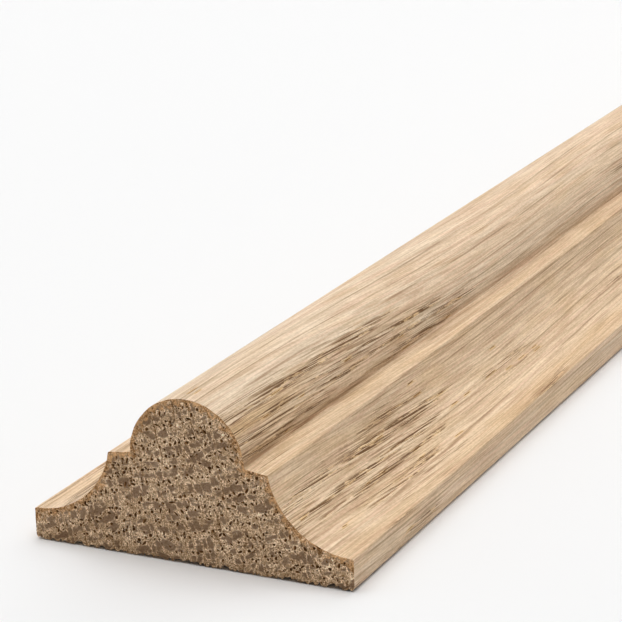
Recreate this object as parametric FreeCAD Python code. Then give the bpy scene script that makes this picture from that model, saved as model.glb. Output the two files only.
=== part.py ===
"""One straight length of hardwood bead moulding, planed from a single board.

A half-round bead stands in the middle of the face. A narrow quirk runs along each side of
it, and from each quirk a hollow cove sweeps down to a thin square lip. The back is flat.
Sizes are in millimetres. Across the width is X, along the grain is Y, out of the back is Z,
and the origin is in the middle of the back, halfway along.
"""

import FreeCAD
import Part
import math
import os

# Length the moulding is cut to
length = 900.0

# Half-round bead: its centre lies level with the inner edge of the quirks
bead_radius = 5.5

# Quirk: the narrow shoulder beside the bead, which falls a little towards its outer edge
quirk_width = 2.2
quirk_fall = 0.3

# Cove: an arc from the quirk's outer edge to the lip
cove_width = 7.8
cove_rise = 6.3
cove_hollow = 1.85  # how far the arc sinks below the straight line between its two edges

# Lip: the square edge of the moulding
lip_height = 2.9

# Rounds that planing and sanding leave on the long edges
back_edge_round = 0.35
lip_edge_round = 0.15
quirk_edge_round = 0.15
quirk_root_round = 0.15

# Places in the section, from the middle of the back
half_width = bead_radius + quirk_width + cove_width
quirk_edge_x = bead_radius + quirk_width
quirk_edge_z = lip_height + cove_rise
quirk_root_z = quirk_edge_z + quirk_fall
crown_z = quirk_root_z + bead_radius


def at(x, z):
    """A point of the section at the near sawn end."""
    return FreeCAD.Vector(x, -length / 2, z)


def line(start, end):
    """A straight edge of the section."""
    return Part.LineSegment(at(*start), at(*end)).toShape()


def arc(start, middle, end):
    """A round edge of the section, through three points."""
    return Part.Arc(at(*start), at(*middle), at(*end)).toShape()


def cove_middle():
    """The deepest point of the right-hand cove's arc."""
    chord = math.hypot(cove_width, cove_rise)
    x = (quirk_edge_x + half_width) / 2 - cove_hollow * cove_rise / chord
    z = (quirk_edge_z + lip_height) / 2 - cove_hollow * cove_width / chord
    return x, z


def section():
    """The outline across the grain, as a closed face, drawn anticlockwise from the back."""
    back = (half_width, 0)
    lip = (half_width, lip_height)
    cove = cove_middle()
    quirk_edge = (quirk_edge_x, quirk_edge_z)
    quirk_root = (bead_radius, quirk_root_z)
    crown = (0, crown_z)

    def mirrored(point):
        return -point[0], point[1]

    edges = [
        line(mirrored(back), back),
        line(back, lip),
        arc(lip, cove, quirk_edge),
        line(quirk_edge, quirk_root),
        arc(quirk_root, crown, mirrored(quirk_root)),
        line(mirrored(quirk_root), mirrored(quirk_edge)),
        arc(mirrored(quirk_edge), mirrored(cove), mirrored(lip)),
        line(mirrored(lip), mirrored(back)),
    ]
    return Part.Face(Part.Wire(edges))


def long_edges(solid, x, z):
    """The two long edges that lie at that height and that far to each side of the middle."""
    near = 0.001
    return [
        edge
        for edge in solid.Edges
        if abs(edge.Vertexes[0].Y - edge.Vertexes[-1].Y) > near
        and all(abs(abs(v.X) - x) < near and abs(v.Z - z) < near for v in edge.Vertexes)
    ]


def moulding():
    """The whole length, with the rounds on its long edges."""
    solid = section().extrude(FreeCAD.Vector(0, length, 0))
    rounds = [
        (back_edge_round, half_width, 0),
        (lip_edge_round, half_width, lip_height),
        (quirk_edge_round, quirk_edge_x, quirk_edge_z),
        (quirk_root_round, bead_radius, quirk_root_z),
    ]
    for radius, x, z in rounds:
        solid = solid.makeFillet(radius, long_edges(solid, x, z))
    return solid


os.makedirs("parts", exist_ok=True)
bead_moulding = moulding()
bead_moulding.exportStep("parts/bead_moulding.step")

box = bead_moulding.BoundBox
print(f"bead_moulding {box.XLength:.2f} x {box.YLength:.2f} x {box.ZLength:.2f} mm")
print(f"volume {bead_moulding.Volume / 1000:.2f} cm3, valid {bead_moulding.isValid()}")
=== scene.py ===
import math
import random

import bpy
from mathutils import Matrix, Vector, noise
from mathutils.geometry import delaunay_2d_cdt
from mathutils.kdtree import KDTree


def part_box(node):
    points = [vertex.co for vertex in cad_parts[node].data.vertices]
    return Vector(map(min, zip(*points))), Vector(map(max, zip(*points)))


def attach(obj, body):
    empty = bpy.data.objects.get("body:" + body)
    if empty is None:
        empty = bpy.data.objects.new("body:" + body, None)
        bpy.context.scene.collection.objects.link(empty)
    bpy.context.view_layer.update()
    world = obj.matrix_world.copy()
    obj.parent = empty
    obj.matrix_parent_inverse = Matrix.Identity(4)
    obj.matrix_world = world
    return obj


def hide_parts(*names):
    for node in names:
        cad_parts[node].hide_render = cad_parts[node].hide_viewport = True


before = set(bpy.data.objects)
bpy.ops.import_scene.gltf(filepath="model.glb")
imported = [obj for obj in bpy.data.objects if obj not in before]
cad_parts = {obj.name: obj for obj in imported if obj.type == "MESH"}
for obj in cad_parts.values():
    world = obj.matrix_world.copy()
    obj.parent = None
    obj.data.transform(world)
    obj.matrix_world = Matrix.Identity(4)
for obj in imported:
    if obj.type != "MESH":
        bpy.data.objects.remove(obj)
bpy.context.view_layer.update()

# The outline of the moulding, as the cutters leave it: a flat back, thin square lips, a
# hollow cove up each side, a narrow quirk, and the half-round bead. It is planed from one
# board of oak, and every arris is eased a little by sanding.
mm = 0.001
low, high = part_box("bead_moulding")
near_end, far_end = low.y, high.y
half_width = (high.x - low.x) / 2
bead_radius = 5.5 * mm
quirk_width = 2.2 * mm
quirk_fall = 0.3 * mm
lip_height = 2.9 * mm
cove_hollow = 1.85 * mm
back_easing = 0.35 * mm
arris_easing = 0.15 * mm

quirk_edge = Vector((bead_radius + quirk_width, high.z - bead_radius - quirk_fall))
quirk_root = Vector((bead_radius, high.z - bead_radius))
lip_corner = Vector((half_width, lip_height))

cove_chord = lip_corner - quirk_edge
cove_radius = (cove_chord.length_squared / 4 + cove_hollow**2) / (2 * cove_hollow)
towards_cove = Vector((-cove_chord.y, cove_chord.x)).normalized()
cove_centre = (lip_corner + quirk_edge) / 2 + towards_cove * (cove_radius - cove_hollow)

facet_width = 0.32 * mm
back_facet_width = 0.6 * mm
easing_facets = 3


def facing(course):
    """The way that the surface faces where the outline runs on this course."""
    return Vector((math.sin(course), -math.cos(course)))


def straight(start, end, width):
    """Places from one corner to just before the next, each with the way it faces."""
    run = end - start
    steps = round(run.length / width)
    normal = facing(math.atan2(run.y, run.x))
    return [(start + run * step / steps, normal) for step in range(steps)]


def round_arc(centre, radius, start, end, hollow=False):
    """Places along a curve between two angles about its centre, the last one left out."""
    steps = round(abs(end - start) * radius / facet_width)
    side = -1 if hollow else 1
    places = []
    for step in range(steps):
        angle = start + (end - start) * step / steps
        spoke = Vector((math.cos(angle), math.sin(angle)))
        places.append((centre + spoke * radius, spoke * side))
    return places


def eased_corner(corner, course, leaving, radius):
    """A small rounding between two courses, and how much of each side it takes."""
    turn = (leaving - course + math.pi) % (2 * math.pi) - math.pi
    side = 1 if turn > 0 else -1
    taken = radius * math.tan(abs(turn) / 2)
    along = Vector((math.cos(course), math.sin(course)))
    centre = corner - along * taken - facing(course) * radius * side
    places = []
    for step in range(easing_facets):
        normal = facing(course + turn * step / easing_facets)
        places.append((centre + normal * radius * side, normal))
    return places, taken


def half_outline():
    """The right-hand half, from the middle of the back round to the crown of the bead."""
    up, left = math.pi / 2, math.pi
    spoke = lip_corner - cove_centre
    cove_start = math.atan2(spoke.y, spoke.x)
    spoke = quirk_edge - cove_centre
    cove_end = math.atan2(spoke.y, spoke.x)
    shelf = math.atan2(quirk_fall, -quirk_width)

    back_corner = Vector((half_width, 0))
    back_places, back_taken = eased_corner(back_corner, 0, up, back_easing)
    lip_places, lip_taken = eased_corner(lip_corner, up, cove_start - up, arris_easing)
    edge_places, edge_taken = eased_corner(quirk_edge, cove_end - up, shelf, arris_easing)
    root_places, root_taken = eased_corner(quirk_root, shelf, up, arris_easing)

    back = straight(Vector((0, 0)), Vector((half_width - back_taken, 0)), back_facet_width)
    lip_foot, lip_top = Vector((half_width, back_taken)), lip_corner - Vector((0, lip_taken))
    lip = straight(lip_foot, lip_top, facet_width)
    cove_start -= lip_taken / cove_radius
    cove_end += edge_taken / cove_radius
    cove = round_arc(cove_centre, cove_radius, cove_start, cove_end, hollow=True)
    shelf_way = Vector((math.cos(shelf), math.sin(shelf)))
    quirk_start, quirk_end = quirk_edge + shelf_way * edge_taken, quirk_root - shelf_way * root_taken
    quirk = straight(quirk_start, quirk_end, facet_width)
    bead_centre = Vector((0, quirk_root.y))
    bead = round_arc(bead_centre, bead_radius, root_taken / bead_radius, up)
    crown = [(Vector((0, high.z)), facing(left))]
    return (
        back + back_places + lip + lip_places + cove + edge_places + quirk + root_places + bead + crown
    )


right_half = half_outline()
left_half = [
    (Vector((-place.x, place.y)), Vector((-normal.x, normal.y)))
    for place, normal in reversed(right_half[1:-1])
]
outline = right_half + left_half
girth = [0.0]
for (place, _), (after, _) in zip(outline, outline[1:] + outline[:1]):
    girth.append(girth[-1] + (after - place).length)

# How the board lay in the tree. The growth rings cross the section at a slope, the rays cut
# them square, and the fibres drift a little from the line of the moulding, so the figure
# slants along its faces. Lengths here are in millimetres.
ring_slope = math.radians(20)
sweep_across, sweep_across_span = 8.9, 223.0
sweep_out, sweep_out_span, sweep_out_start = 2.4, 150.0, 0.6
swirl, swirl_span, swirl_reach, swirl_start = 0.8, 16.0, 7.0, -2.34
ripple, ripple_span, ripple_reach = 0.3, 37.0, 4.0


def sine(turn):
    """The sine of a number, or of an amount that a finish works out."""
    return math.sin(turn) if isinstance(turn, float) else turn.sine()


def sweep(x, run):
    """How far the fibres have drifted across and out, this far from the near end."""
    across = sweep_across * sine(run / sweep_across_span)
    across = across + swirl * sine(run / swirl_span + x / swirl_reach + swirl_start)
    out = sweep_out * (sine(run / sweep_out_span + sweep_out_start) - math.sin(sweep_out_start))
    return across, out


def in_the_tree(x, y, z):
    """How far along the rings a point of the moulding lies, and how far out across them."""
    run = (y - near_end) / mm
    across, sunk = sweep(x / mm, run)
    x, z = x / mm - across, z / mm - sunk
    along = x * math.cos(ring_slope) + z * math.sin(ring_slope)
    out = z * math.cos(ring_slope) - x * math.sin(ring_slope)
    return along, out + ripple * sine(run / ripple_span + along / ripple_reach)


def turned_back(along, out):
    """A place in the tree as so far across and so far up, before the fibres drift."""
    across = along * math.cos(ring_slope) - out * math.sin(ring_slope)
    up = along * math.sin(ring_slope) + out * math.cos(ring_slope)
    return across, up


def on_the_section(along, out, y):
    """Where a place in the tree lies on the section at y."""
    run = (y - near_end) / mm
    out -= ripple * math.sin(run / ripple_span + along / ripple_reach)
    straight_x, z = turned_back(along, out)
    x = straight_x
    closer_looks = 8
    for _ in range(closer_looks):
        across, sunk = sweep(x, run)
        x = straight_x + across
    return x * mm, (z + sunk) * mm


ring_width = 1.25
first_ring = 0.25
ring_wave, ring_wave_span = 0.25, 1.9
ring_crimp, ring_crimp_span, ring_crimp_start = 0.12, 0.7, 1.3
uneven_years, years_pace = 0.22, 1.7


def season(along, out):
    """How far through its year the wood grew: early wood first, late wood last."""
    bent = out + ring_wave * sine(along / ring_wave_span)
    bent = bent + ring_crimp * sine(along / ring_crimp_span + ring_crimp_start)
    depth = bent / ring_width
    return (depth + uneven_years * sine(depth * years_pace) + first_ring) % 1


rich_along, rich_out, rich_run, rich_start, rich_bend = 2.3, 1.3, 31.0, 1.1, 0.9
spell_run, spell_share = 25.0, 0.8
cluster_along, cluster_out, cluster_share = 0.55, 0.9, 0.4
patch_run, patch_along, patch_out, patch_bend = 4.5, 1.1, 1.7, 2.0
plain_side, rich_side, plain_share = 1.0, 3.5, 1.1
poor_wood = 0.1


def richness(along, out, run, plain):
    """How rich in vessels the wood is here. Some rings and some stretches have many, and the
    plain side of the board has few."""
    bend = rich_bend * sine(along / rich_along + run / rich_run)
    rich = sine(out / rich_out + bend + rich_start) + spell_share * sine(run / spell_run + math.pi / 2)
    rich = rich + cluster_share * sine(along / cluster_along + out / cluster_out)
    bend = patch_bend * sine(out / patch_out)
    rich = rich + cluster_share * sine(run / patch_run + along / patch_along + bend)
    return rich - plain_share * plain


def rich_wood(x, y, z):
    """Whether the wood at a point is rich enough in vessels to show them as slots."""
    along, out = in_the_tree(x, y, z)
    plain = (rich_side - turned_back(along, out)[0]) / (rich_side - plain_side)
    plain = min(1.0, max(0.0, plain))
    return richness(along, out, (y - near_end) / mm, plain) > poor_wood


ray_gap = 0.67
ray_shift, ray_scatter = 0.3, 78.233


def ray_distance(along):
    """How far a point is from the middle of the ray next to it."""
    place = along / ray_gap
    ray = math.floor(place)
    return abs(place - ray - 0.5 - ray_shift * math.sin(ray_scatter * ray)) * ray_gap


# The vessels: fine tubes that run the whole length with the fibres, wide and crowded in the
# early wood of each ring, small and few in the late wood, and seldom in a ray.
chance = random.Random(41)
vessels_tried = 26000
board_along, board_out = (-27, 29), (-11, 23)
early_part = 0.36
early_share, late_share = 0.95, 0.12
early_radius, late_radius = (0.075, 0.16), (0.05, 0.09)
ray_half, ray_cleared = 0.1, 0.85
vessel_space = 0.05
wobble = 0.05
wobble_lengths = (2, 6)
bucket = 0.5
vessels, buckets = [], {}


def near_vessels(along, out):
    """The vessels in the squares round a place in the tree."""
    column, row = round(along / bucket), round(out / bucket)
    for i in (column - 1, column, column + 1):
        for j in (row - 1, row, row + 1):
            yield from buckets.get((i, j), ())


for _ in range(vessels_tried):
    along, out = chance.uniform(*board_along), chance.uniform(*board_out)
    early = season(along, out) < early_part
    if chance.random() > (early_share if early else late_share):
        continue
    if ray_distance(along) < ray_half and chance.random() < ray_cleared:
        continue
    radius = chance.uniform(*early_radius) if early else chance.uniform(*late_radius)
    if any(
        math.hypot(along - v[0], out - v[1]) < radius + v[2] + vessel_space
        for v in near_vessels(along, out)
    ):
        continue
    vessel = (along, out, radius, chance.uniform(0, 2 * math.pi), chance.uniform(*wobble_lengths))
    vessels.append(vessel)
    buckets.setdefault((round(along / bucket), round(out / bucket)), []).append(vessel)

# The planed faces: long flat strips of wood, side by side round the outline. Where the
# cutters sliced into a vessel it lies open as a fine slot along the grain, and where the saw
# came out through the back it tore the edge.
torn_row, end_row, middle_row = 0.9 * mm, 3.5 * mm, 14 * mm
even_rows = 70 * mm
row_growth = 1.07
row_jitter = 0.3


def row_lines():
    """Where the rows of facets meet along the length. They are closer near the sawn ends."""
    places, step = [0.0], end_row
    half = (far_end - near_end) / 2
    while places[-1] + step < half:
        places.append(places[-1] + step)
        if places[-1] > even_rows:
            step = min(step * row_growth, middle_row)
    scale = half / places[-1]
    first = [near_end + place * scale for place in places]
    first.insert(1, near_end + torn_row)
    return first + [near_end + far_end - place for place in reversed(first[:-1])]


rows = row_lines()
last_row = len(rows) - 2
verts, turned = [], []
faces, face_looks, face_map, face_girths = [], [], [], []
PLANED, SAWN, OPEN = 0, 1, 2


def vertex(x, y, z, normal=(0, 0, 0)):
    """A new corner of the mesh, with the way that a smooth face is turned there."""
    verts.append((x, y, z))
    turned.append(normal)
    return len(verts) - 1


def face(corners, look, places, around=None):
    """A face from its corners, its finish, its places on the flat layout of the surface, and
    how far round the outline its corners lie, in millimetres."""
    faces.append(corners)
    face_looks.append(look)
    face_map.append(places)
    face_girths.append(around or [0.0] * len(corners))


def ends_of(strip):
    """The two places on the outline that a strip lies between."""
    return outline[strip], outline[(strip + 1) % len(outline)]


def on_strip(strip, share, y, depth=0.0):
    """A corner part of the way across a strip, sunk into it by a depth."""
    (start, start_normal), (end, end_normal) = ends_of(strip)
    normal = start_normal.lerp(end_normal, share).normalized()
    place = start.lerp(end, share) - normal * depth
    return vertex(place.x, y, place.y, (normal.x, 0, normal.y))


torn_height = 0.45 * mm
torn_width = 1.3 * mm
torn_swing, torn_lift = 1.3, 0.25
crumb_width = 0.22 * mm
crumb_swing = 0.9
crumbs_a_strip = 3
pressed_in = 0.05 * mm
pressed_lift = 0.3


def faces_down(normal):
    """Whether a place on the outline belongs to the flat back."""
    almost_straight_down = -0.99
    return normal.y < almost_straight_down


def arris(place, normal, y):
    """A place on the edge of a sawn end. The saw tears the back's edge and dents the others."""
    rough = noise.noise(Vector((place.x, place.y, y)) / crumb_width)
    if not faces_down(normal):
        return place - normal * pressed_in * max(0.0, rough + pressed_lift)
    torn = noise.noise(Vector((place.x / torn_width, y / mm, 0)))
    depth = max(0.0, torn_swing * torn + torn_lift + crumb_swing * rough)
    return place + Vector((0, torn_height * min(1.0, depth)))


lines = []
for place, normal in outline:
    line = []
    for row, y in enumerate(rows):
        here = place
        if row in (0, len(rows) - 1):
            here = arris(place, normal, y)
        else:
            y += chance.uniform(-row_jitter, row_jitter) * min(y - rows[row - 1], rows[row + 1] - y)
        line.append(vertex(here.x, y, here.y, (normal.x, 0, normal.y)))
    lines.append(line)

# Where each part of the surface lies on one flat layout: the length as three sheets, and
# the sawn ends beside them at a larger scale.
sheets = 3
sheet_length = (far_end - near_end) / sheets
sheet_margin = 6 * mm
end_scale = 3.4
end_spacing = 34 * mm
map_side = sheet_length + 2 * sheet_margin


def on_sheet(strip, share, y, row):
    """Where a point of a planed face lies on the layout."""
    middle = (rows[row] + rows[row + 1]) / 2 - near_end
    sheet = min(int(middle / sheet_length), sheets - 1)
    around = girth[strip] + (girth[strip + 1] - girth[strip]) * share
    return (
        (y - near_end - sheet * sheet_length + sheet_margin) / map_side,
        (around + sheet * (girth[-1] + mm)) / map_side,
    )


def on_end_sheet(number, x, z):
    """Where a point of the first or the second sawn end lies on the layout."""
    across = sheet_margin + (number * end_spacing + half_width + x) * end_scale
    up = (girth[-1] + mm) * sheets + z * end_scale
    return across / map_side, up / map_side


least_slot, most_slot = 1.4 * mm, 8 * mm
least_slot_steps = 4
slot_margin = 0.02 * mm
slot_step = 0.4 * mm
slot_closing = 0.33
slot_sinking = 0.45
least_sinking = 0.04 * mm
grazing = 0.9
wobble_lag = 0.7
narrow = 0.25 * mm
tip_share = 0.2
tip_clear = (0.04, 0.3)


def open_vessel(strip, start, end):
    """The longest stretch of a vessel that lies open in one facet, as (y, share, half width,
    depth) at each step, or None."""
    (left, _), (right, _) = ends_of(strip)
    way = right - left
    width = way.length
    way, out_way = way / width, Vector((way.y, -way.x)) / width
    middle = (left + right) / 2
    count = max(least_slot_steps, round((end - start) / slot_step))
    steps = [start + (end - start) * step / count for step in range(count + 1)]
    trees = [in_the_tree(middle.x, y, middle.y) for y in steps]
    best = []
    for along, out, radius, phase, pace in dict.fromkeys(
        v for tree in (trees[0], trees[count // 2], trees[-1]) for v in near_vessels(*tree)
    ):
        here = []
        for y, (tree_along, tree_out) in zip(steps + [None], trees + [(0, 0)]):
            cut = False
            if y is not None:
                run = (y - near_end) / mm
                gap_along = along - tree_along + wobble * math.sin(run / pace + phase)
                gap_out = out - tree_out + wobble * math.sin(run / pace * wobble_lag - phase)
                x, z = turned_back(gap_along, gap_out)
                rise = x * out_way.x + z * out_way.y
                if abs(rise) < radius * grazing:
                    half = math.sqrt(radius**2 - rise**2) * slot_closing * mm
                    offset = (x * way.x + z * way.y) * mm + width / 2
                    cut = offset - half > slot_margin and offset + half < width - slot_margin
                    cut = cut and (not here or y - here[0][0] < most_slot)
            if cut:
                here.append((y, offset / width, half / width, (radius + rise) * slot_sinking * mm))
            else:
                if len(here) > len(best):
                    best = here
                here = []
    return best if len(best) > 1 and best[-1][0] - best[0][0] > least_slot else None


mouths = {0: {}, -1: {}}
# Corners on the floors of slots and pits, which the open vessel finish darkens as painted shade.
painted_shade_floors = {}
rim_light = {}


class Facet:
    """A facet of the planed faces, one strip wide and one row long."""

    def __init__(self, strip, row):
        self.strip, self.row = strip, row
        self.width = girth[strip + 1] - girth[strip]
        left, right = lines[strip], lines[(strip + 1) % len(outline)]
        self.corners = left[row], right[row], right[row + 1], left[row + 1]
        self.shares = dict(zip(self.corners, (0, 1, 1, 0)))
        heights = [verts[corner][1] for corner in self.corners]
        self.lowest, self.highest = max(heights[:2]), min(heights[2:])

    def lay(self, *points, look=PLANED):
        """A face of the facet from its corners, and where it lies on the layout."""
        points = points[::-1]
        places = [on_sheet(self.strip, self.shares[p], verts[p][1], self.row) for p in points]
        around = [(girth[self.strip] + self.width * self.shares[p]) / mm for p in points]
        face(points, look, places, around)

    def point(self, share, y, depth=0.0):
        """A corner within the facet, part of the way across it and sunk by a depth."""
        made = on_strip(self.strip, share, y, depth)
        self.shares[made] = share
        return made

    def torn(self):
        """The facet beside a saw cut through the back, where crumbs have broken away."""
        a, b, c, d = self.corners
        at_near = self.row == 0
        y = rows[0] if at_near else rows[-1]
        near, far = (a, b) if at_near else (c, d)
        inner_near, inner_far = (d, c) if at_near else (b, a)
        (start, normal), (end, _) = ends_of(self.strip)
        crumbs = []
        for part in range(1, crumbs_a_strip + 1):
            share = part / (crumbs_a_strip + 1)
            edge = arris(start.lerp(end, share), normal, y)
            crumb = vertex(edge.x, y, edge.y, (normal.x, 0, normal.y))
            self.shares[crumb] = share
            crumbs.append(crumb)
        mouths[0 if at_near else -1][self.strip] = tuple(crumbs)
        if not at_near:
            crumbs.reverse()
        half = len(crumbs) // 2
        for first, second in zip([near] + crumbs[:half], crumbs[: half + 1]):
            self.lay(inner_near, first, second)
        self.lay(inner_near, crumbs[half], inner_far)
        for first, second in zip(crumbs[half:], crumbs[half + 1 :] + [far]):
            self.lay(inner_far, first, second)

    def slotted(self, slot):
        """The facet with a vessel's slot in it, which runs out to a tip or into a sawn end."""
        a, b, c, d = self.corners
        clear = chance.uniform(*tip_clear) * (self.highest - self.lowest)
        at_near = self.row == 0 and slot[0][0] == self.lowest
        at_far = self.row == last_row and slot[-1][0] == self.highest
        start = slot[0][0] if at_near else max(slot[0][0], self.lowest + clear)
        end = slot[-1][0] if at_far else min(slot[-1][0], self.highest - clear)
        quarter = len(slot) // 4
        first, second = slot[quarter], slot[-1 - quarter]
        near_y = start + (end - start) * tip_share
        far_y = start + (end - start) * (1 - tip_share)
        right_near = self.point(first[1] + first[2], near_y)
        left_near = self.point(first[1] - first[2], near_y)
        right_far = self.point(second[1] + second[2], far_y)
        left_far = self.point(second[1] - second[2], far_y)
        deep_near, deep_far = (max(least_sinking, step[3]) for step in (first, second))
        floor_near = self.point(first[1], near_y, deep_near)
        floor_far = self.point(second[1], far_y, deep_far)
        painted_shade_floors[floor_near] = painted_shade_floors[floor_far] = 1.0
        rim_light.update(dict.fromkeys((right_near, left_near, right_far, left_far), 1.0))
        self.lay(b, c, right_far, right_near)
        self.lay(d, a, left_near, left_far)
        self.lay(right_near, right_far, floor_far, floor_near, look=OPEN)
        self.lay(left_far, left_near, floor_near, floor_far, look=OPEN)
        near_floor, far_floor = (floor_near, deep_near), (floor_far, deep_far)
        near_banks, far_banks = (right_near, left_near), (left_far, right_far)
        if at_near:
            self.mouth(0, slot[0], near_banks, (a, b), near_floor)
        else:
            self.tip(self.point(slot[0][1], start), near_banks, (a, b), floor_near)
        if at_far:
            self.mouth(-1, slot[-1], far_banks, (c, d), far_floor)
        else:
            self.tip(self.point(slot[-1][1], end), far_banks, (c, d), floor_far)

    def mouth(self, end, cut, banks, corners, floor):
        """Where a slot runs out through a sawn end."""
        (side, other_side), (one, other), (bottom_inside, deep) = banks, corners, floor
        y = verts[one][1]
        left, right = cut[1] - cut[2], cut[1] + cut[2]
        near_one, near_other = (left, right) if end == 0 else (right, left)
        rim_one = self.point(near_one, y)
        bottom = self.point(cut[1], y, deep)
        rim_other = self.point(near_other, y)
        opening = (rim_one, bottom, rim_other)
        mouths[end][self.strip] = opening if end == 0 else opening[::-1]
        self.lay(one, rim_one, other_side)
        self.lay(rim_other, other, side)
        self.lay(rim_one, bottom, bottom_inside, other_side, look=OPEN)
        self.lay(bottom, rim_other, side, bottom_inside, look=OPEN)

    def tip(self, tip, banks, corners, floor):
        """Where a slot runs out to nothing on the planed face."""
        (side, other_side), (one, other) = banks, corners
        self.lay(one, other, tip)
        self.lay(other, side, tip)
        self.lay(other_side, one, tip)
        self.lay(tip, side, floor, look=OPEN)
        self.lay(other_side, tip, floor, look=OPEN)


for strip, (place, normal) in enumerate(outline):
    for row in range(last_row + 1):
        facet = Facet(strip, row)
        slot = None
        if facet.width > narrow:
            if row in (0, last_row) and faces_down(normal):
                facet.torn()
                continue
            middle = (place + ends_of(strip)[1][0]) / 2
            if rich_wood(middle.x, (facet.lowest + facet.highest) / 2, middle.y):
                slot = open_vessel(strip, facet.lowest, facet.highest)
        if slot:
            facet.slotted(slot)
        else:
            facet.lay(*facet.corners)

# The sawn ends. Vessels cut across show as open pits, each in a pale sheath, and the saw
# leaves the fibres along the arris pressed and browner.
sheath = 0.07 * mm
pit_sides = 8
small_pit, small_pit_sides = 0.09 * mm, 6
least_pit = 0.075
pit_depth = 0.14 * mm
pit_floor = 0.7
pit_growth = 1.1
pit_jitter = 0.2
pit_stretch, stretch_scatter, round_pits = 0.8, 7.1, 4
pit_turn, turn_scatter = 1.2, 3.3
pit_margin = 0.02 * mm
press_reach = 1.1 * mm
rim_parts = 4
rim = KDTree(len(outline) * rim_parts)
for strip in range(len(outline)):
    (start, _), (end, _) = ends_of(strip)
    for part in range(rim_parts):
        place = start.lerp(end, part / rim_parts)
        rim.insert((place.x, place.y, 0), strip * rim_parts + part)
rim.balance()
pressed = {}


def from_rim(x, z):
    """How far a place on a sawn end is from its edge."""
    return rim.find((x, z, 0))[2]


def inside(x, z):
    """Whether a place on the section is wood."""
    crossings = 0
    for strip in range(len(outline)):
        (start, _), (end, _) = ends_of(strip)
        if (start.y > z) != (end.y > z):
            crossings += x < start.x + (z - start.y) * (end.x - start.x) / (end.y - start.y)
    return crossings % 2 == 1


def pits(y):
    """Vessels cut across on a sawn end: middle, two half widths and the turn of each."""
    for along, out, radius, phase, _ in vessels:
        if radius < least_pit:
            continue
        x, z = on_the_section(along, out, y)
        if not (abs(x) < half_width and torn_height < z < high.z and inside(x, z)):
            continue
        stretch = 1 + pit_stretch * math.sin(phase * stretch_scatter) ** round_pits
        turn = ring_slope + math.sin(phase * turn_scatter) * pit_turn
        radius *= pit_growth * mm
        long_half, short_half = radius * stretch, radius / stretch**0.5
        clear = long_half * (1 + pit_jitter) + sheath + pressed_in + pit_margin
        if from_rim(x, z) > clear and z > clear + torn_height:
            yield x, z, long_half, short_half, turn


def press(points):
    """Marks how strongly the saw pressed the wood at these corners of a sawn end."""
    for point in points:
        x, z = verts[point][0], verts[point][2]
        if z > lip_height / 2:
            pressed[point] = max(0.0, 1 - from_rim(x, z) / press_reach)


def sawn_end(y, way, number):
    """One sawn end, which faces this way. Its number says where it lies on the layout."""
    row = 0 if way < 0 else -1
    corners = []
    for strip, line in enumerate(lines):
        corners.append(line[row])
        corners.extend(mouths[row].get(strip, ()))
    press(corners)

    def lay(points, look):
        places = [on_end_sheet(number, verts[p][0], verts[p][2]) for p in points]
        if way > 0:
            points, places = points[::-1], places[::-1]
        face(tuple(points), look, places)

    def flat(point):
        return Vector((verts[point][0], verts[point][2]))

    loops = [list(range(len(corners)))]
    points = [flat(corner) for corner in corners]
    made = list(corners)
    for x, z, long_half, short_half, turn in pits(y):
        across = Vector((math.cos(turn), math.sin(turn)))
        up = Vector((-across.y, across.x))
        sides = pit_sides if long_half > small_pit else small_pit_sides
        uneven = [1 + chance.uniform(-pit_jitter, pit_jitter) for _ in range(sides)]

        def ring(grow, depth, size=1.0):
            made_ring = []
            for side in range(sides):
                angle = 2 * math.pi * side / sides
                shrink = size * uneven[side]
                place = (
                    Vector((x, z))
                    + across * (long_half * shrink + grow) * math.cos(angle)
                    + up * (short_half * shrink + grow) * math.sin(angle)
                )
                made_ring.append(vertex(place.x, y - way * depth, place.y))
            return made_ring

        outer, edge = ring(sheath, 0), ring(0, 0)
        floor = ring(0, pit_depth, pit_floor)
        painted_shade_floors.update(dict.fromkeys(floor, 1.0))
        rim_light.update(dict.fromkeys(edge, 1.0))
        press(outer + edge)
        loops.append([len(points) + side for side in range(sides)])
        points += [flat(point) for point in outer]
        made += outer
        for side in range(sides):
            after = (side + 1) % sides
            lay([outer[side], outer[after], edge[after], edge[side]], SAWN)
            lay([edge[side], edge[after], floor[after], floor[side]], OPEN)
        lay(floor, OPEN)

    for strip, (place, normal) in enumerate(outline):
        if girth[strip + 1] - girth[strip] > narrow:
            for reach in (press_reach / 2, press_reach):
                inner = place - normal * reach
                if inner.y > torn_height and inside(inner.x, inner.y):
                    points.append(inner)
                    made.append(None)
    only_inside, weld = 1, 1e-7
    found, _, triangles, sources, _, owners = delaunay_2d_cdt(points, [], loops, only_inside, weld)
    names = []
    for place, source in zip(found, sources):
        known = [made[s] for s in source if made[s] is not None]
        names.append(known[0] if known else vertex(place.x, y, place.y))
        if not known:
            press(names[-1:])
    outline_alone = [0]
    for triangle, owner in zip(triangles, owners):
        if list(owner) == outline_alone:
            lay([names[point] for point in triangle], SAWN)


sawn_end(near_end, -1, 0)
sawn_end(far_end, 1, 1)

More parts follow.
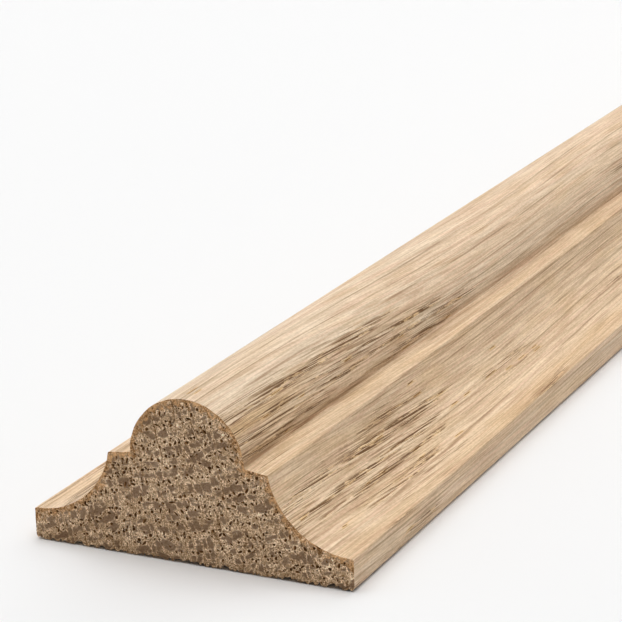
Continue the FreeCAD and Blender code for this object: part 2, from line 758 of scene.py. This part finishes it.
# All the faces make one closed skin, since the moulding is one piece of wood. The planed
# faces are smooth to the eye, and the sawn ends, the pits and the slots are flat-sided.
mesh = bpy.data.meshes.new("oak_moulding")
mesh.from_pydata(verts, [], faces)
mesh.polygons.foreach_set("use_smooth", [True] * len(faces))
mesh.polygons.foreach_set("material_index", face_looks)
layout = mesh.uv_layers.new(name="OFBake")
layout.data.foreach_set("uv", [value for places in face_map for place in places for value in place])
for name, values in (("sheath", rim_light), ("pressed", pressed), ("deep", painted_shade_floors)):
    attribute = mesh.attributes.new(name, "FLOAT", "POINT")
    attribute.data.foreach_set("value", [values.get(i, 0.0) for i in range(len(verts))])
around = mesh.attributes.new("around", "FLOAT", "CORNER")
around.data.foreach_set("value", [value for girths in face_girths for value in girths])
normals = []
for polygon in mesh.polygons:
    flat_way = tuple(polygon.normal)
    smooth = polygon.material_index == PLANED
    normals += [turned[point] if smooth else flat_way for point in polygon.vertices]
mesh.normals_split_custom_set(normals)
moulding = bpy.data.objects.new("oak_moulding", mesh)
bpy.context.collection.objects.link(moulding)
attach(moulding, "root")
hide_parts("bead_moulding")

# The finish of the planed faces: bare oak straight from the cutters. Straw, peach and golden
# bands follow the rings, with darker late wood, fine streaks, and open pores in rows.
straw = (0.755, 0.595, 0.425)
cream = (0.83, 0.70, 0.54)
peach = (0.755, 0.565, 0.384)
honey = (0.785, 0.58, 0.372)
rosy = (0.69, 0.46, 0.305)
golden = (0.66, 0.44, 0.215)
amber = (0.72, 0.48, 0.235)
pore_brown = (0.15, 0.07, 0.022)
warm_along, warm_along_reach, warm_out, warm_out_reach = 11.0, 6.0, 2.0, 5.5
dark_ring, dark_ring_width = 7.65, 0.9
pale_ring, pale_ring_width = 2.1, 1.6
golden_ring, golden_ring_width = 6.4, 1.0
amber_ring, amber_ring_width = 10.2, 0.9
cream_ring, cream_ring_width = 13.8, 2.6
edge_ring, edge_ring_width = -2.4, 0.9
planed_relief = 0.06 * mm


class Amount:
    """What one step of a finish gives: a number or a colour that changes over the wood."""

    def __init__(self, finish, socket):
        self.finish, self.socket = finish, socket

    def __add__(self, other):
        return self.finish.reckon("ADD", self, other)

    def __sub__(self, other):
        return self.finish.reckon("SUBTRACT", self, other)

    def __rsub__(self, other):
        return self.finish.reckon("SUBTRACT", other, self)

    def __mul__(self, other):
        return self.finish.reckon("MULTIPLY", self, other)

    def __truediv__(self, other):
        return self.finish.reckon("DIVIDE", self, other)

    def __mod__(self, other):
        return self.finish.reckon("FLOORED_MODULO", self, other)

    def __pow__(self, other):
        return self.finish.reckon("POWER", self, other)

    def __or__(self, other):
        return self.finish.reckon("MAXIMUM", self, other)

    def __abs__(self):
        return self.finish.reckon("ABSOLUTE", self)

    __radd__ = __add__
    __rmul__ = __mul__

    def sine(self):
        """The sine of the amount, as a turn."""
        return self.finish.reckon("SINE", self)

    def fade(self, start, end, low=0.0, high=1.0):
        """A smooth change from low to high while the amount goes from start to end."""
        limits = {"Value": self, "From Min": start, "From Max": end, "To Min": low, "To Max": high}
        return self.finish.step("MapRange", limits, interpolation_type="SMOOTHSTEP")


class Finish:
    """A finish that is built up in steps, each of them one node."""

    def __init__(self, look):
        look.use_nodes = True
        self.tree = look.node_tree
        self.nodes = look.node_tree.nodes

    def put(self, node, socket, value):
        """A value, or what comes out of another step, goes into a step."""
        if isinstance(value, Amount):
            self.tree.links.new(value.socket, node.inputs[socket])
        else:
            node.inputs[socket].default_value = value

    def step(self, kind, inputs, output=0, **settings):
        """One more step, and what comes out of it."""
        node = self.nodes.new("ShaderNode" + kind)
        for setting, value in settings.items():
            setattr(node, setting, value)
        for socket, value in inputs.items():
            self.put(node, socket, value)
        return Amount(self, node.outputs[output])

    def reckon(self, operation, *values):
        """One step of arithmetic."""
        return self.step("Math", dict(enumerate(values)), operation=operation)


class OakFinish(Finish):
    """A finish that follows the rings, the rays and the fibres of the wood."""

    def __init__(self, name):
        material = bpy.data.materials.new(name)
        mesh.materials.append(material)
        super().__init__(material)
        place = self.step("TexCoord", {}, "Object")
        x, y, z = (self.step("SeparateXYZ", {0: place}, axis) for axis in "XYZ")
        self.up = z / mm
        self.run = (y - near_end) / mm
        self.across = sweep(x / mm, self.run)[0]
        self.along, self.out = in_the_tree(x, y, z)

    def figure(self, width, length, depth=None, start=0.0):
        """The place in the tree, for a figure with marks this wide, this long and this deep."""
        sizes = ((self.along, width), (self.out, depth or width), (self.run, length))
        parts = [value / size + start for value, size in sizes]
        return self.step("CombineXYZ", dict(enumerate(parts)))

    def clouds(self, *sizes, detail=2.0, **more):
        """Soft marks of random darkness, from 0 to 1."""
        inputs = {"Vector": self.figure(*sizes, **more), "Scale": 1.0, "Detail": detail}
        return self.step("TexNoise", inputs)

    def marked(self, name):
        """What the corners nearby carry under this name."""
        return self.step("Attribute", {}, "Fac", attribute_name=name)

    def tint(self, colour, other, share):
        """A colour with a share of another in it."""
        first, second, mixed = 6, 7, 2
        colour, other = ((*c, 1) if isinstance(c, tuple) else c for c in (colour, other))
        return self.step("Mix", {0: share, first: colour, second: other}, mixed, data_type="RGBA")

    def shade(self, colour, amount, *others):
        """A colour made lighter, or darker and richer as wood is, by all of these amounts."""
        green_depth, blue_depth = 1.22, 1.5
        for other in others:
            amount = amount * other
        tone = self.step("CombineXYZ", {0: amount, 1: amount**green_depth, 2: amount**blue_depth})
        return self.step("VectorMath", {0: colour, 1: tone}, operation="MULTIPLY")

    def done(self, colour, roughness, shine, height=None, relief=0.0):
        """The finished surface, from its colour, its roughness and the height of its relief."""
        surface = self.nodes["Principled BSDF"]
        self.put(surface, "Base Color", colour)
        self.put(surface, "Roughness", roughness)
        self.put(surface, "Specular IOR Level", shine)
        if height:
            raised = self.step("Bump", {"Height": height, "Distance": relief, "Strength": 1.0})
            self.put(surface, "Normal", raised)


planed = OakFinish("planed_oak")
run, along, out = planed.run, planed.along, planed.out
grown = season(along, out)


def ring_at(place, width):
    """One ring of the tree, strongest in its middle."""
    return abs(out - place).fade(width, 0.3 * width)


# Bands of colour, broad ones first
colour = planed.tint(straw, peach, planed.clouds(4, 80, 1.6).fade(0.36, 0.64))
warmth = ((along - warm_along) / warm_along_reach) ** 2.0 + ((out - warm_out) / warm_out_reach) ** 2.0
warmth = warmth + planed.clouds(1.5, 22, 0.5, start=13.0).fade(0.3, 0.7, 0.6, -0.6)
colour = planed.tint(colour, honey, warmth.fade(1.7, 0.5, 0.1, 0.6))
colour = planed.tint(colour, rosy, planed.clouds(0.45, 18, 0.28, start=21.0).fade(0.48, 0.6, 0, 0.6))
colour = planed.tint(colour, golden, planed.clouds(2.2, 10, 1.6, start=31.0).fade(0.5, 0.66, 0, 0.25))
edge = ring_at(edge_ring, edge_ring_width)
shelf = ring_at(golden_ring, golden_ring_width) * along.fade(0, 3)
cream_part = ring_at(cream_ring, cream_ring_width) * run.fade(40, 5, 0, 0.3)
amber_part = ring_at(amber_ring, amber_ring_width) * run.fade(20, 4, 0, 0.5) * along.fade(3, 6)
colour = planed.tint(colour, golden, edge * 0.2)
colour = planed.tint(colour, golden, shelf * 0.14)
colour = planed.tint(colour, cream, cream_part)
colour = planed.tint(colour, amber, amber_part)

# Bands of light and dark
pale = ring_at(pale_ring, pale_ring_width) * 0.07 + 1.0
pale = pale + shelf * run.fade(20, 70, 0, -0.06) + along.fade(-2, -6, 0, 0.09)
bands = planed.clouds(2.5, 60, 0.8, start=7.0).fade(0.35, 0.7, 1.02, 0.94)
darker = abs(out - dark_ring) + planed.clouds(1.0, 9, 0.6, start=2.0).fade(0.3, 0.7, -0.5, 0.5)
darker = darker.fade(dark_ring_width, 0) * along.fade(0, 5) * run.fade(5, 45, 1, 0.45)
late = grown.fade(0.45, 0.8) * grown.fade(1, 0.93)
late = late * planed.clouds(2.5, 30, 1.2, start=3.0).fade(0.45, 0.66, 0.1, 1)
ring_edge = grown.fade(0.84, 0.94) * grown.fade(1, 0.97)
ring_edge = ring_edge * planed.clouds(3, 14, 1.2, start=17.0).fade(0.4, 0.58)
streaks = planed.clouds(0.35, 16, 0.22)
speckle = planed.clouds(0.17, 0.45, 0.17, detail=1.0, start=14.0)

# Threads follow the face of the wood, as fibres do that the cutters laid bare
upward = planed.step("SeparateXYZ", {0: planed.step("NewGeometry", {}, "Normal")}, 2)
thread = planed.marked("around") + planed.across * upward.fade(-0.6, -0.3, -1.0, 0.7)
between_layers = 0.4


def threads(width, length, start=0.0):
    """Fine marks along the fibres, from 0 to 1."""
    parts = {0: thread / width + start, 1: run / length + start, 2: between_layers}
    place = planed.step("CombineXYZ", parts)
    return planed.step("TexNoise", {"Vector": place, "Scale": 1.0, "Detail": 0.0})


fibres = threads(0.1, 5)
cut = threads(0.08, 7, 7.0)
dotted = threads(0.16, 1.7, 3.0).fade(0.47, 0.5)
whole = planed.clouds(0.8, 6, start=9.0).fade(0.48, 0.56)

# Pores lie where the early wood is rich in vessels, in amber wood
plain = turned_back(along, out)[0].fade(rich_side, plain_side)
rich = richness(along, out, run, plain) + planed.clouds(1.2, 18, 0.7, start=5.0).fade(0.3, 0.7, -0.6, 0.6)
bead_side = out.fade(8, 10) * along.fade(5, 7.5) * run.fade(35, 10, 0, 0.6)
rich = (rich + bead_side).fade(0.25, 1.1)
crowd = grown.fade(0.55, 0.35) * rich
beside = cut.fade(0.48, 0.57) * crowd
grains = threads(0.12, 0.35, 4.0).fade(0.5, 0.62) * beside
hairs = threads(0.08, 4, 6.0).fade(0.56, 0.63) * rich
pores = cut.fade(0.56, 0.6) * (dotted | whole) * crowd
colour = planed.tint(colour, amber, beside * 0.7)
colour = planed.tint(colour, amber, planed.marked("sheath").fade(0, 0.8, 0, 0.9))
colour = planed.shade(
    colour,
    bands,
    pale,
    1 - edge * 0.05,
    1 - late * 0.09,
    1 - darker * 0.27,
    1 - grains * 0.3,
    1 - hairs * 0.38,
    1 - ring_edge * 0.36,
    streaks.fade(0.3, 0.7, 0.93, 1.02),
    fibres.fade(0.36, 0.64, 0.86, 1.07),
    speckle.fade(0.3, 0.7, 0.94, 1.07),
)
colour = planed.tint(colour, pore_brown, pores * 0.96)
height = streaks * 0.4 + fibres * 0.6 - pores
planed.done(colour, streaks.fade(0.3, 0.7, 0.62, 0.5), 0.2, height, planed_relief)

# The finish of the sawn ends: fibres cut across, so the wood is darker and crumbly. Pale
# sheaths stand round the pores, dense late wood lies in smooth brown patches, rays cross it.
sheath_tan = (0.95, 0.70, 0.465)
dense_brown = (0.215, 0.125, 0.07)
pressed_orange = (0.74, 0.435, 0.21)
holed_share = 0.5
ray_bow = 1.1
rays_left_out = 1.6
sawn_relief = 0.1 * mm

sawn = OakFinish("sawn_oak")
grown = season(sawn.along, sawn.out)
bent = sawn.step("TexNoise", {"Vector": sawn.figure(0.45, 1.0), "Scale": 1.0, "Detail": 1.0}, "Color")
bent = sawn.step("VectorMath", {0: bent, 1: (0.5, 0.5, 0.5)}, operation="SUBTRACT")
bent = sawn.step("VectorMath", {0: bent, "Scale": 0.5}, operation="SCALE")


def crumbled(size, start=0.0):
    """The place in the tree for marks of this size, with their outlines bent out of true."""
    shift = sawn.step("VectorMath", {0: bent, "Scale": 1 / size}, operation="SCALE")
    return sawn.step("VectorMath", {0: sawn.figure(size, 1.0, start=start), 1: shift}, operation="ADD")


def cells(place, output, **settings):
    """Cells side by side: the distance to their middles or walls, or a number for each."""
    found = sawn.step("TexVoronoi", {"Vector": place, "Scale": 1.0}, output, **settings)
    return sawn.step("SeparateXYZ", {0: found}, 0) if output == "Color" else found


def open_pores(size, start, radius):
    """Pores cut across, one to a cell, in some of the cells."""
    place = crumbled(size, start=start)
    kind = cells(place, "Color")
    chosen = sawn.reckon("GREATER_THAN", kind, 1 - holed_share)
    reach = chosen * kind.fade(1 - holed_share, 1, radius / 2, radius)
    return chosen * (cells(place, "Distance") - reach).fade(0, -0.7 * radius)


bow = sawn.clouds(2.2, 1.0, 7.0, detail=1.0).fade(0.2, 0.8, -ray_bow, ray_bow)
between_rays = sawn.reckon("PINGPONG", (sawn.along + bow) / ray_gap / rays_left_out, 0.5)
ray_shown = sawn.clouds(1.2, 1.0, 4.0, detail=1.0).fade(0.45, 0.6)
rays = ray_shown * between_rays.fade(0.06, 0.03)

late = grown.fade(0.3, 0.5) * grown.fade(1, 0.88)
wide = sawn.clouds(3.0, 1.0, 2.0, detail=1.0, start=11.0).fade(0.3, 0.7, 1.07, 0.86)
patch = sawn.clouds(1.0, 1.0, 0.6, detail=1.0) + late * 0.2 + between_rays.fade(0.04, 0.28, -0.2, 0.04)
patch = patch + sawn.clouds(3.5, 1.0, 2.2, detail=1.0, start=15.0).fade(0.3, 0.7, -0.13, 0.1)
dense = patch.fade(0.58, 0.74)
wall = cells(crumbled(0.24), "Distance", feature="DISTANCE_TO_EDGE")
crumb = cells(crumbled(0.13), "Color")
holes = (open_pores(0.36, 2.0, 0.38) | open_pores(0.19, 5.0, 0.46) * 0.85) * dense.fade(0.5, 0.1)
loose = 1 - (sawn.marked("sheath") | dense)
rough = 1 - dense * 0.6
squeezed = sawn.marked("pressed") + sawn.clouds(0.5, 1.0).fade(0.3, 0.7, -0.4, 0.4)

colour = sawn.tint(sheath_tan, dense_brown, dense * 0.9)
colour = sawn.tint(colour, pressed_orange, squeezed.fade(0.25, 0.85, 0, 0.95))
colour = sawn.shade(
    colour,
    1 - loose * wall.fade(0.03, 0.16) * 0.46,
    wide,
    # painted shade: the sawn ends are made darker towards the bottom, near the floor
    sawn.up.fade(0.1, 1.3, 0.8, 1),
    1 - rays * 0.5,
    1 - holes * 0.85,
    1 - rough * crumb.fade(0, 1, 1, -1) * 0.3,
    sawn.clouds(0.07, 1.0, start=1.0).fade(0.3, 0.7, 0.8, 1.2),
    sawn.clouds(0.16, 1.0, start=8.0).fade(0.3, 0.7, 0.86, 1.14),
)
height = (crumb * 0.5 - wall - holes) * rough
sawn.done(colour, dense.fade(0, 1, 0.85, 0.7), 0.06, height, sawn_relief)

# The inside of an open vessel: dark wood, honey brown at the rim, with painted shade that
# darkens it to dark brown at the bottom.
vessel_honey = (0.48, 0.265, 0.11)
vessel_dark = (0.13, 0.06, 0.022)
opened = OakFinish("open_vessel")
depth_shade = opened.marked("deep") + opened.clouds(0.5, 4.0).fade(0.35, 0.65, -0.25, 0.35)
opened.done(opened.tint(vessel_honey, vessel_dark, depth_shade.fade(0, 1.1)), 0.8, 0.06)

# The floor: a plain pale sheet that the moulding lies on. It isn't part of the moulding.
# Well away from the moulding it goes over to the white of the backdrop.
floor_reach = 6.0
floor_gap = 0.1 * mm
floor_mesh = bpy.data.meshes.new("floor")
floor_corners = [(x * floor_reach, y * floor_reach, 0) for x, y in ((-1, -1), (1, -1), (1, 1), (-1, 1))]
floor_mesh.from_pydata(floor_corners, [], [(0, 1, 2, 3)])
floor = bpy.data.objects.new("floor", floor_mesh)
floor.location.z = low.z - floor_gap
bpy.context.collection.objects.link(floor)

backdrop_white = 0.97
backdrop_start, backdrop_full = 0.4, 0.95
length_counts = 0.55


def backdrop_seen(finish):
    """One for what the camera sees, straight or through gloss or glass, and nought for light."""
    rays = ("Is Camera Ray", "Is Glossy Ray", "Is Transmission Ray")
    straight_on, in_gloss, through = (finish.step("LightPath", {}, ray) for ray in rays)
    return straight_on | in_gloss | through


white_paper = bpy.data.materials.new("white_paper")
floor_mesh.materials.append(white_paper)
paper = Finish(white_paper)
sheet = paper.nodes["Principled BSDF"]
paper.put(sheet, "Base Color", (0.86, 0.86, 0.86, 1))
paper.put(sheet, "Roughness", 0.9)
paper.put(sheet, "Specular IOR Level", 0.1)
place = paper.step("TexCoord", {}, "Object")
place = paper.step("VectorMath", {0: place, 1: (1, length_counts, 0)}, operation="MULTIPLY")
away = paper.step("VectorMath", {0: place}, "Value", operation="LENGTH")
share = away.fade(backdrop_start, backdrop_full) * backdrop_seen(paper)
white = paper.step("Emission", {"Strength": backdrop_white})
blend = paper.step("MixShader", {0: share, 1: Amount(paper, sheet.outputs[0]), 2: white})
paper.put(paper.nodes["Material Output"], "Surface", blend)

# Soft light as in a tent of white cloth: a wide panel overhead, weaker ones to the left, to
# the right and behind, and a dim even glow from all round.
glow = 0.16
panel_width = 1.8
bpy.context.scene.world = bpy.data.worlds.new("studio")
studio = Finish(bpy.context.scene.world)
sky = studio.nodes["Background"]
studio.put(sky, "Color", (1, 1, 1, 1))
studio.put(sky, "Strength", backdrop_seen(studio) * (backdrop_white - glow) + glow)


def panel(name, way, power):
    """A round panel of light that faces the near sawn end from this way."""
    light = bpy.data.lights.new(name, "AREA")
    light.shape = "DISK"
    light.size = panel_width
    light.energy = power
    lamp = bpy.data.objects.new(name, light)
    lamp.location = Vector((0, near_end, 0)) + Vector(way)
    lamp.rotation_euler = (-Vector(way)).to_track_quat("-Z", "Y").to_euler()
    bpy.context.collection.objects.link(lamp)


panel("overhead", (0, 0, 1.7), 18.9)
panel("left", (-1.2, 0, 1.2), 7.5)
panel("right", (1.2, 0, 1.2), 5.4)
panel("behind", (0, 1.2, 1.2), 8.6)

# The camera stands close to the near sawn end, over its right corner, and looks down the
# length. Its long lens keeps the section nearly square on.
camera_data = bpy.data.cameras.new("camera")
camera_data.sensor_width = 36
camera_data.lens = 141.5
camera_data.clip_start = 0.01
camera_data.clip_end = 50
camera = bpy.data.objects.new("camera", camera_data)
camera_place = (0.095161, near_end - 0.169706, 0.083124)
yaw, pitch, roll = (math.radians(angle) for angle in (26.07, 17.341, -1.498))
camera.matrix_world = (
    Matrix.Translation(camera_place)
    @ Matrix.Rotation(yaw, 4, "Z")
    @ Matrix.Rotation(math.pi / 2 - pitch, 4, "X")
    @ Matrix.Rotation(roll, 4, "Z")
)
bpy.context.collection.objects.link(camera)
bpy.context.scene.camera = camera
bpy.context.scene.view_settings.view_transform = "Standard"
